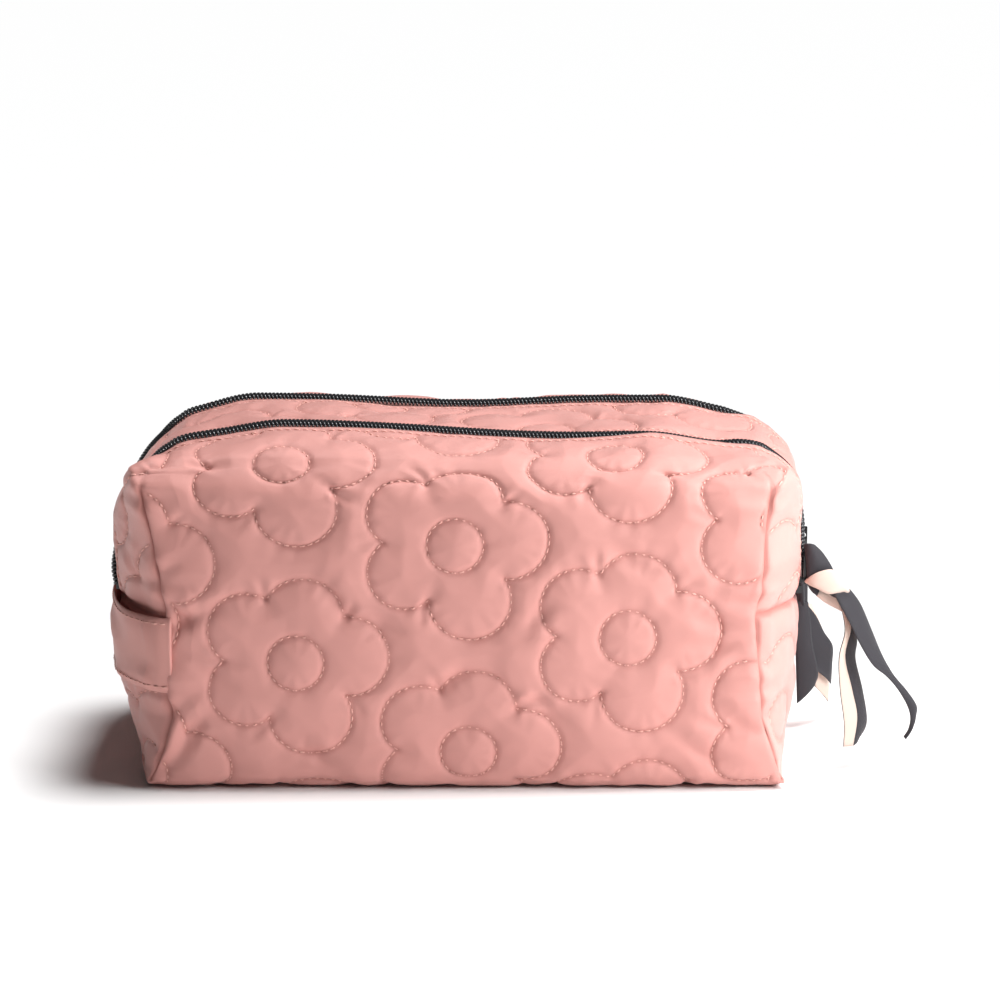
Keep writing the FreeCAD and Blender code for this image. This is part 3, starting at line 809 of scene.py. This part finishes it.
def walk(line, pitch, length):
    """Cloth points of each stitch along a line: an array (stitches, points, 2)."""
    run = runs_of(line)
    starts = np.arange(0.3, run[-1] - length, pitch)
    at = starts[:, None] + np.linspace(0, length, STITCH_POINTS)[None]
    return np.stack([np.interp(at, run, line[:, 0]), np.interp(at, run, line[:, 1])], axis=-1)


def lay_stitches(name, box, radius=QUILT_THREAD):
    """Stitches from box points (stitches, points, 3), laid on the finished skin."""
    flat = box.reshape(-1, 3)
    _, normal, skin, *_ = skin_of(flat)
    normal = normal.reshape(box.shape)
    skin = skin.reshape(box.shape) + normal * np.array(STITCH_RISE)[None, :, None]
    return capsules(name, list(zip(skin, normal)), radius, THREAD)


def wall_stitches(chart):
    """Box points of the quilting stitches of the front or back, where they show."""
    found = []
    back = chart == "back"
    turned = -1 if back else 1
    for line in LINES[chart]:
        for stitch in walk(line, STITCH_PITCH, STITCH_LENGTH):
            u, v = stitch[:, 0], stitch[:, 1]
            deep = box_rise(v) - HEIGHT
            far = np.abs(u)
            if np.all(far > END_START + 1.5) and v.min() > 3 and v.max() < SEAM_Z - 3:
                away = far - END_START
                if away.max() > HALF_DEPTH - 1:
                    continue
                box = np.stack([np.sign(u) * HALF_LENGTH, -HALF_DEPTH + away, v], axis=1)
            elif deep.min() > 0:
                if deep.max() > HALF_DEPTH - SLOT_OUT - 1.2 or far.max() > BELT_END - 2.5:
                    continue
                box = belt_to_box(u, -HALF_DEPTH + deep)
            else:
                reach = seam_place(u * turned, v)
                if np.any(far > reach - 2.0) or v.min() < -HALF_DEPTH + 1 or deep.max() > 0:
                    continue
                box = wall_to_box(u, v)
                beyond = (far - CORE[0]) / (reach - CORE[0]) * END_RADIUS
                box[:, 0] = np.where(np.abs(box[:, 0]) > CORE[0], np.sign(u) * (CORE[0] + beyond), box[:, 0])
            if back:
                box = box * (-1, -1, 1)
            found.append(box)
    return np.array(found)


def strip_stitches():
    found = []
    for line in LINES["strip"]:
        for stitch in walk(line, STITCH_PITCH, STITCH_LENGTH):
            if np.abs(stitch[:, 1]).max() < SLOT_IN - 1.2 and np.abs(stitch[:, 0]).max() < BELT_END - 3:
                found.append(belt_to_box(stitch[:, 0], stitch[:, 1]))
    return np.array(found)


EDGE_STITCH = 2.7


def edge_stitches(y):
    line = np.array([[-BELT_END + 3, y], [BELT_END - 3, y]])
    return np.array([belt_to_box(s[:, 0], s[:, 1]) for s in walk(line, 3.3, 2.5)])


for side, sign in (("front", -1), ("back", 1)):
    quilting = lay_stitches(f"{side}_quilting", wall_stitches(side))
    across_fold(quilting)
    outer_line = edge_stitches(sign * (SLOT_OUT + EDGE_STITCH))
    outer = lay_stitches(f"{side}_flap_topstitch", outer_line, EDGE_THREAD)
    across_fold(outer)
    inner_line = edge_stitches(sign * (SLOT_IN - EDGE_STITCH))
    inner = lay_stitches(f"{side}_strip_topstitch", inner_line, EDGE_THREAD)
    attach(inner, "bag")
middle_quilting = lay_stitches("strip_quilting", strip_stitches())
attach(middle_quilting, "bag")

# ---- linings and divider


LINING_DEPTH = 3.4
for side, mask in (("front", FRONT), ("back", BACK)):
    lining = cut_piece(f"{side}_lining_cloth", mask, -LINING_DEPTH, LINING, smooth=True)
    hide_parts(f"{side}_lining", f"{side}_flap_lining")
    across_fold(lining)
strip_lining = cut_piece("strip_lining_cloth", STRIP, -LINING_DEPTH, LINING, smooth=True)
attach(strip_lining, "bag")


def divider_sheet():
    """One sheet down the middle, a little slack, up to the linings all round."""
    turn = np.linspace(0, 2 * math.pi, 160, endpoint=False)
    way = np.stack([HALF_LENGTH * np.cos(turn), 0 * turn, HEIGHT / 2 * np.sin(turn)], axis=1)
    far = np.maximum(np.abs(np.cos(turn)), np.abs(np.sin(turn)))
    middle = np.array([0, 0, HEIGHT / 2])
    rim = project(middle + way / far[:, None])
    rim = rim - outward(rim) * (LINING_DEPTH + 0.9)
    shares = np.linspace(0.04, 1, 16)
    points = np.concatenate([middle + (rim - middle) * share for share in shares])
    points[:, 1] += 1.1 * np.repeat(1 - shares**3, len(rim)) * waves(points[:, [0, 2]], 70.0, 9)
    count = len(rim)
    faces = tube_faces(len(shares), count)[:-2] + [tuple(range(count))]
    return make_mesh("divider_cloth", points, faces, points[:, [0, 2]] * UV_SCALE, [LINING])


divider = divider_sheet()
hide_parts("divider")
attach(divider, "bag")

# ---- zips

TAPE_DEPTH = 1.7
TAPE_REACH = 9.6
COIL_PITCH = 1.5
COIL_RADIUS = 0.78
# One loop of a coil: places across the zip from its middle, along it, and below the smooth form.
LOOP_ACROSS = np.array([-0.7, 0.3, 1.4, 2.5, 3.3])
LOOP_ALONG = np.array([0.9, 0.45, -0.1, -0.6, -0.9])
LOOP_DEPTH = np.array([0.5, -0.3, -0.6, -0.1, 0.9]) - 0.6


def belt_frame(run, y, depth):
    """Points a depth under the smooth form along the belt, with normals."""
    box = belt_to_box(run, y)
    points = project(box)
    normal = outward(points)
    return points - normal * depth, normal


def zip_tape(name, side, near, far):
    """A thin woven tape under the hems, from near to far across the bag."""
    runs = np.arange(-BELT_END + 1, BELT_END - 1, 1.5)
    edges = ((near, 0.0), (far, 0.3), (far, 0.75), (near, 0.5))
    sink = TAPE_DEPTH + 0.5 * zip_sink(runs, side)[:, None]
    rows = [belt_frame(runs, np.full(len(runs), y), sink + depth)[0] for y, depth in edges]
    points = np.stack(rows, axis=1).reshape(-1, 3)
    uv = pairs(runs, [near, far, far, near])
    piece = make_mesh(name, points, tube_faces(len(runs), 4), uv, [TAPE])
    piece.data.polygons.foreach_set("use_smooth", [False] * len(piece.data.polygons))
    return piece


def zip_coil(name, side, middle, way, offset):
    """One side's coil: slanted loops that hook over the zip's middle."""
    runs = np.arange(-BELT_END + 4, BELT_END - 12, COIL_PITCH) + offset * COIL_PITCH
    paths = []
    for run in runs:
        points, normal = belt_frame(run + LOOP_ALONG * way, middle + LOOP_ACROSS * way, 0.0)
        paths.append((points - normal * (LOOP_DEPTH + zip_sink(run, side))[:, None], normal))
    return capsules(name, paths, COIL_RADIUS, COIL)


for side, sign in (("front", -1), ("back", 1)):
    for half, way, offset in (("outer", sign, 0.0), ("inner", -sign, 0.5)):
        middle = sign * ZIP_Y
        tape = zip_tape(f"{side}_{half}_tape_cloth", side, middle + way * 0.3, middle + way * TAPE_REACH)
        coil = zip_coil(f"{side}_{half}_coil", side, middle, way, offset)
        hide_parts(f"{side}_zip_{half}_tape")
        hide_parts(f"{side}_zip_{half}_teeth")
        for piece in (tape, coil):
            if half == "outer":
                across_fold(piece)
            else:
                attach(piece, "bag")

# The frame's own metal pieces keep their shape; the sliders and pullers get softened edges.
for side in ("front", "back"):
    for part, shift in (("zip_bottom_stop", 2.6), ("zip_top_stops", -2.2)):
        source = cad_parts[f"{side}_{part}"]
        mesh = source.data.copy()
        mesh.transform(Matrix.Translation((shift * MM, 0, 0)))
        stop = added(f"{side}_{part}_metal", mesh)
        stop.matrix_world = source.matrix_world
        mesh.materials.clear()
        mesh.materials.append(METAL)
        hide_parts(f"{side}_{part}")
        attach(stop, "bag")
    for part in ("slider", "puller"):
        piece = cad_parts[f"{side}_{part}"]
        piece.data.materials.clear()
        piece.data.materials.append(METAL)
        bevel = piece.modifiers.new("soft_edges", "BEVEL")
        bevel.width = 0.0003
        bevel.segments = 2
        bevel.limit_method = "ANGLE"

# ---- ribbons and strap


def smooth_rows(rows, count):
    """A Catmull-Rom curve through rows of any shape."""
    rows = np.asarray(rows, float)
    padded = np.concatenate([rows[:1] * 2 - rows[1:2], rows, rows[-1:] * 2 - rows[-2:-1]])
    at = np.linspace(0, len(rows) - 1, count)
    i = np.minimum(at.astype(int), len(rows) - 2)
    f = (at - i).reshape(-1, *([1] * (rows.ndim - 1)))
    a, b, c, d = padded[i], padded[i + 1], padded[i + 2], padded[i + 3]
    return 0.5 * (2 * b + (c - a) * f + (2 * a - 5 * b + 4 * c - d) * f**2 + (3 * b - a - 3 * c + d) * f**3)


RIBBON_THICK = 0.36


def ribbon_strip(edges, curl, flipped=False, count=44, columns=9):
    """A thin closed strip between two edges, black on one face and cream on the other."""
    rows = smooth_rows(edges, count)
    share = np.linspace(0, 1, columns)
    grid = rows[:, None, 0] * (1 - share)[None, :, None] + rows[:, None, 1] * share[None, :, None]
    way = np.gradient(rows.mean(axis=1), axis=0)
    across = rows[:, 1] - rows[:, 0]
    normal = unit(np.cross(way, across))
    bow = (1 - (2 * share - 1) ** 2)[None, :, None] * curl
    grid = grid + normal[:, None] * bow
    half = normal[:, None] * RIBBON_THICK / 2
    points = np.concatenate([(grid + half).reshape(-1, 3), (grid - half).reshape(-1, 3)])
    faces = band_faces(count, columns)
    tone = ([1, 0] if flipped else [0, 1]) * ((count - 1) * (columns - 1))
    tone += [0] * (len(faces) - len(tone))
    length = runs_of(rows.mean(axis=1))
    width = np.linalg.norm(across, axis=1).mean()
    uv = pairs(length, share * width)
    return points, faces, tone, np.concatenate([uv, uv]), width, length[-1]


def ribbon(name, strips):
    """A ribbon of one or more strips that share edges."""
    points, faces = joined([strip[:2] for strip in strips])
    tones = np.concatenate([strip[2] for strip in strips])
    uv = np.concatenate([strip[3] for strip in strips])
    piece = make_mesh(name, points, faces, uv, [BLACK, CREAM])
    piece.data.polygons.foreach_set("material_index", tones)
    bpy.context.view_layer.update()
    return piece


def pleated(name, path, radii, lobes, deep, seed, material, count=36, rounds=40):
    """A gathered bundle of ribbon: a tube whose section has pleats.  radii: rows of (wide, thin)."""
    line = smooth_rows(path, count)
    size = smooth_rows(radii, count)
    way = unit(np.gradient(line, axis=0))
    side = unit(np.cross(way, (0.0, 1.0, 0.0)))
    up = np.cross(way, side)
    turn = np.linspace(0, 2 * math.pi, rounds, endpoint=False)
    rng = np.random.default_rng(seed)
    phase = rng.uniform(0, 6.3, 3)
    along_path = np.linspace(0, 1, count)[:, None]
    pleat = 1 + deep * (
        np.sin(lobes * turn + phase[0] + 1.2 * along_path) * 0.6
        + np.sin((lobes + 3) * turn + phase[1] - 1.6 * along_path) * 0.4
    )
    ring = (
        side[:, None] * (np.cos(turn) * pleat)[..., None] * size[:, None, :1]
        + up[:, None] * (np.sin(turn) * pleat)[..., None] * size[:, None, 1:]
    )
    points = (line[:, None] + ring).reshape(-1, 3)
    uv = pairs(np.arange(count) * 0.5, turn * 5)
    return make_mesh(name, points, tube_faces(count, rounds), uv, [material])


def on_puller(piece, side, slot, *nodes):
    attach(piece, f"{side}_puller")
    if nodes:
        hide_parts(*nodes)


def at_depth(y, rows, *shape):
    """Rows of (x, depth behind y, z), as an array of that shape."""
    return np.reshape(rows, (-1, *shape, 3)) + (0, y, 0)


def front_bow():
    """The front slider's ribbon: a black loop and a cream band tied through the puller, and two tails."""
    y = -31.0
    path = (133.4, 4, 86, 137, 2, 83, 140.0, 1, 78, 142.5, 0, 74, 145, 1, 70, 147, 2, 67)
    radii = [(1.2, 1.2), (2.2, 2.0), (2.8, 2.2), (3.2, 2.4), (3.2, 2.2), (1.8, 1.4)]
    core = pleated("front_bow_core", at_depth(y, path), radii, 4, 0.14, 1, BLACK)
    on_puller(core, "front", "black_ribbon", "front_ribbon_knot")
    loop = (
        132.5, 0, 88.2, 136.7, 0, 87.8, 133.0, -2, 84.0, 139.4, -1, 85.3,
        133.4, -3, 79.5, 142.1, -1.5, 81.5, 133.8, -3, 74.4, 144.1, -1, 77.8,
    )
    dark = (
        134.0, -1, 73.6, 134.7, -1, 71.1, 136.1, -1.5, 72.4, 136.0, -1.5, 69.4,
        138.8, -1, 70.9, 137.8, -1, 67.9,
    )
    wrap = (
        133.6, -2, 74.9, 133.7, -2, 73.1, 135.4, -4, 76.8, 135.1, -4, 72.6, 138.3, -5, 78.6, 137.5, -5, 71.7,
        142.9, -5, 79.4, 141.6, -5, 69.7, 146.5, -4, 76.6, 145.5, -4, 69.9, 150.4, -1, 70.3, 148.5, -1, 69.5,
    )
    under = (
        138.0, 0, 70.8, 137.5, 0, 67.7, 141.7, 0.5, 69.5, 141.1, 0.5, 64.8,
        146.0, 1, 69.0, 146.2, 1, 61.9, 149.3, 2, 67.2, 149.4, 2, 60.0,
    )
    folds = [
        ribbon_strip(at_depth(y, loop, 2), 1.5, count=24),
        ribbon_strip(at_depth(y, dark, 2), -0.4, flipped=True, count=12),
        ribbon_strip(at_depth(y, wrap, 2), -0.9, count=24),
        ribbon_strip(at_depth(y, under, 2), -0.6, count=24),
    ]
    on_puller(ribbon("front_bow_folds", folds), "front", "cream_ribbon")
    outer = (
        142.5, -3.5, 71.7, 149.4, 0, 71.2, 143.9, -4.5, 69.6, 151.5, 2, 68.8,
        146.7, -5, 64.6, 155.3, 4, 63.1, 151.0, -5.5, 56.8, 159.6, 5, 53.2,
        154.5, -5.5, 49.7, 163.7, 5.5, 43.5, 159.5, -5, 41.6, 167.0, 6, 37.3,
        164.9, -4, 36.9, 170.7, 6, 31.7, 169.4, -2, 31.5, 174.4, 5, 27.5,
        173.3, 0, 24.9, 177.8, 3, 22.9, 175.4, 2, 18.7, 177.7, 4.5, 18.0,
        175.0, 4, 13.3, 176.1, 5, 12.2, 173.3, 5, 9.7, 174.0, 6, 9.0,
    )
    tail = ribbon("front_tail_outer", [ribbon_strip(at_depth(y, outer, 2), 1.0)])
    on_puller(tail, "front", "black_ribbon", "front_black_ribbon")
    # Three edges: the cream half lies between the first two, and the black half between the last two.
    inner = at_depth(y, (
        146.0, 0, 66.1, 149.1, 0, 66.1, 150.9, 2, 63.2, 147.5, -1, 62.0, 150.0, 0, 60.1, 152.3, 3, 56.6,
        148.6, -3, 54.2, 151.1, 0, 54.2, 154.1, 4, 49.1, 146.5, -4, 44.1, 149.2, 0, 43.4, 153.8, 5, 41.2,
        147.2, -4, 31.1, 152.3, 0.5, 29.8, 157.0, 6, 28.2, 149.0, -4, 18.3, 154.5, 1, 19.0, 158.9, 6, 15.5,
        149.0, -4, 8.4, 153.1, 0, 7.6, 155.5, 4, 8.8,
    ), 3)
    halves = [ribbon_strip(inner[:, :2], 0.4, flipped=True), ribbon_strip(inner[:, 1:], 0.4)]
    on_puller(ribbon("front_tail_inner", halves), "front", "cream_ribbon", "front_cream_ribbon")


def back_bow():
    """The back slider's ribbon, which hangs behind the end."""
    y = 27.0
    path = (133.5, 0, 78, 136.0, 0, 73, 136.4, 0, 66, 136.8, 0, 58, 137.6, 0, 50)
    radii = [(1.4, 1.6), (2.6, 3.8), (3.0, 4.8), (2.8, 4.8), (2.2, 3.6)]
    knot = pleated("back_bow_knot", at_depth(y, path), radii, 5, 0.12, 5, BLACK)
    on_puller(knot, "back", "black_ribbon", "back_ribbon_knot")
    right = (
        135.6, 0, 50.0, 139.8, 2, 48.9, 135.6, -1, 44.9, 143.7, 3, 43.8, 135.9, -2, 38.5, 147.1, 4, 36.9,
        136.1, -3, 32.1, 150.8, 5, 30.8, 137.0, -3, 25.4, 150.8, 5, 23.2, 142.3, -3, 23.3, 150.4, 4, 15.1,
    )
    left = (
        134.6, -3, 51.6, 139.9, -2, 50.9, 134.5, -5, 42.2, 141.1, -3, 41.7,
        134.8, -6, 34.1, 141.9, -3.5, 33.5, 135.2, -6, 24.6, 144.4, -3, 22.1, 135.9, -6, 9.7, 143.3, -3, 16.6,
    )
    behind = (
        137.0, 3, 49, 142.0, 7, 48, 141.3, 2.5, 35, 148.0, 7, 34, 142.3, 2, 25.7, 149.3, 7, 24.3,
        142.9, 2, 19.4, 149.9, 7, 18.0, 143.8, 2, 14.4, 149.7, 7, 6.6,
    )
    wide = ribbon("back_tail_wide", [ribbon_strip(at_depth(y, right, 2), 0.8)])
    on_puller(wide, "back", "black_ribbon", "back_black_ribbon")
    near = ribbon("back_tail_near", [ribbon_strip(at_depth(y, left, 2), 0.8)])
    on_puller(near, "back", "black_ribbon")
    narrow = ribbon("back_tail_cream", [ribbon_strip(at_depth(y, behind, 2), 0.6, flipped=True)])
    on_puller(narrow, "back", "cream_ribbon", "back_cream_ribbon")


front_bow()
back_bow()

# The strap's middle line round the left end: (place out from the end's crown, place across), bottom and top.
STRAP_LINE = (
    (-26.5, -63.6, -26.5, -63.6), (-19.5, -60.5, -18.5, -60.5), (-9.5, -48, -7.5, -49),
    (-4.6, -28, -1.6, -29),
    (-3.0, 0, 0.6, 0),
    (-4.6, 28, -1.6, 29), (-9.5, 48, -7.5, 49), (-19.5, 60.5, -18.5, 60.5), (-26.5, 63.6, -26.5, 63.6),
)
STRAP_WIDTH = 29
STRAP_THICK = 1.7
STRAP_CLEAR = 1.3
STRAP_BOW = 1.6
STRAP_SEAMS = (0.076, 0.924)
STRAP_THREAD = 0.27
LEFT_END = SKIN[(sides_of(BOX) == "left") & (SKIN[:, 2] < SEAM_Z) & (np.abs(SKIN[:, 1]) < 62)]
LEFT_TREE = kdtree.KDTree(len(LEFT_END))
for index, (_, y, z) in enumerate(LEFT_END):
    LEFT_TREE.insert((0, y, z), index)
LEFT_TREE.balance()


def off_the_end(line):
    """A line along the strap, moved out until it clears the quilted end behind it."""
    push = np.zeros(len(line))
    for i, (x, y, z) in enumerate(line):
        near = [LEFT_END[k][0] for _, k, _ in LEFT_TREE.find_range((0, y, z), 2.2)]
        if near and abs(y) < 60:
            push[i] = min(0.0, min(near) - STRAP_CLEAR - x)
    width = max(len(line) // 12, 3)
    window = np.ones(2 * width + 1) / (2 * width + 1)
    soft = np.convolve(np.pad(push, width, mode="edge"), window, mode="valid")
    moved = line.copy()
    moved[:, 0] += np.minimum(0.4 * push + 0.6 * soft, push)
    return moved


def strap_frames(count):
    rows = smooth_rows(STRAP_LINE, count)
    (_, _, low), (_, _, high) = corners("side_strap")
    bow = STRAP_BOW * np.cos(np.pi * rows[:, 1] / 130)
    bottom = np.stack([-HALF_LENGTH - rows[:, 0], rows[:, 1], low + 0.8 * bow], axis=1)
    top = np.stack([-HALF_LENGTH - rows[:, 2], rows[:, 3], high + bow], axis=1)
    return bottom, top


def strap():
    """A folded band of plain satin, stitched along both edges, slack across the left end."""
    count, columns = 90, 15
    bottom, top = strap_frames(count)
    share = np.linspace(0, 1, columns)
    grid = bottom[:, None] * (1 - share)[None, :, None] + top[:, None] * share[None, :, None]
    for column in range(columns):
        grid[:, column] = off_the_end(grid[:, column])
    way = np.gradient((bottom + top) / 2, axis=0)
    normal = unit(np.cross(top - bottom, way))
    normal *= np.sign(-normal[:, :1] + 1e-9)
    edge = np.minimum(share, 1 - share) * STRAP_WIDTH
    thick = STRAP_THICK / 2 * np.sqrt(np.clip(1 - (1 - np.minimum(edge / 0.8, 1)) ** 2, 0.05, 1))
    thick = thick - 0.28 * bell(edge - 2.2, 0.9)
    swell = 0.35 * waves(grid.reshape(-1, 3), 22.0, 12).reshape(count, columns)
    swell = swell * np.minimum(edge / 6, 1)[None]
    outer = grid + normal[:, None] * (thick[None] + swell)[..., None]
    inner = grid - normal[:, None] * (thick[None] - swell)[..., None]
    points = np.concatenate([outer.reshape(-1, 3), inner.reshape(-1, 3)])
    faces = [(a, d, c, b) for a, b, c, d in band_faces(count, columns)]
    uv = pairs(np.arange(count) * 1.6, share * STRAP_WIDTH)
    piece = make_mesh("end_strap", points, faces, np.concatenate([uv, uv]), [STRAP_PINK])
    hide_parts("side_strap")
    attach(piece, "bag")
    paths = []
    fine = 10 * count
    low_edge, high_edge = strap_frames(fine)
    facing = np.repeat(normal, 10, axis=0)
    lift = STRAP_THICK / 2 - 0.2 + np.array(STITCH_RISE)
    for part in STRAP_SEAMS:
        line = off_the_end(low_edge * (1 - part) + high_edge * part)
        run = runs_of(line)
        for start in np.arange(2, run[-1] - 4, 3.2):
            at = start + np.linspace(0, 2.4, STITCH_POINTS)
            spot = np.stack([np.interp(at, run, column) for column in np.hstack([line, facing]).T], axis=1)
            paths.append((spot[:, :3] + spot[:, 3:] * lift[:, None], spot[:, 3:]))
    seams = capsules("end_strap_topstitch", paths, STRAP_THREAD, THREAD)
    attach(seams, "bag")


strap()

# ---- the camera, floor and light


FLOOR_HALF = 16000.0
SKY_STRENGTH = 0.05


def stage():
    ring = [(a * FLOOR_HALF, b * FLOOR_HALF, 0) for a, b in ((-1, -1), (1, -1), (1, 1), (-1, 1))]
    material, *_ = new_material("floor", (0.83, 0.83, 0.83), 0.9)
    floor = make_mesh("floor", ring, [(0, 1, 2, 3)], materials=[material])
    floor.location.z = -0.0004
    world = bpy.data.worlds.new("studio")
    world.use_nodes = True
    background = world.node_tree.nodes["Background"]
    background.inputs["Color"].default_value = (1, 1, 1, 1)
    background.inputs["Strength"].default_value = SKY_STRENGTH
    bpy.context.scene.world = world
    lamp("sun", "SUN", (0.24, 0.08, 0.95), 3.9).angle = math.radians(20)
    near = lamp("softbox", "AREA", (0.33, -0.20, 0.21), 1.65)
    near.shape = "SQUARE"
    near.size = 0.2


def lamp(name, kind, place, power):
    """A light at a place, turned to the bag."""
    light = bpy.data.lights.new(name, kind)
    light.energy = power
    piece = added(name, light)
    piece.location = place
    piece.rotation_euler = (Vector(place) - Vector((0, 0, 0.06))).to_track_quat("Z", "Y").to_euler()
    piece.visible_camera = False
    return light


def camera():
    lens = bpy.data.cameras.new("camera")
    lens.sensor_width = 36
    lens.lens = 119.5
    eye = added("camera", lens)
    distance, rise = 1.3, math.radians(12.6)
    target = Vector((0.0160, 0.0, 0.0985))
    eye.location = target + distance * Vector((0, -math.cos(rise), math.sin(rise)))
    eye.rotation_euler = (target - eye.location).to_track_quat("-Z", "Y").to_euler()
    bpy.context.scene.camera = eye


bpy.context.scene.view_settings.view_transform = "Standard"
stage()
camera()
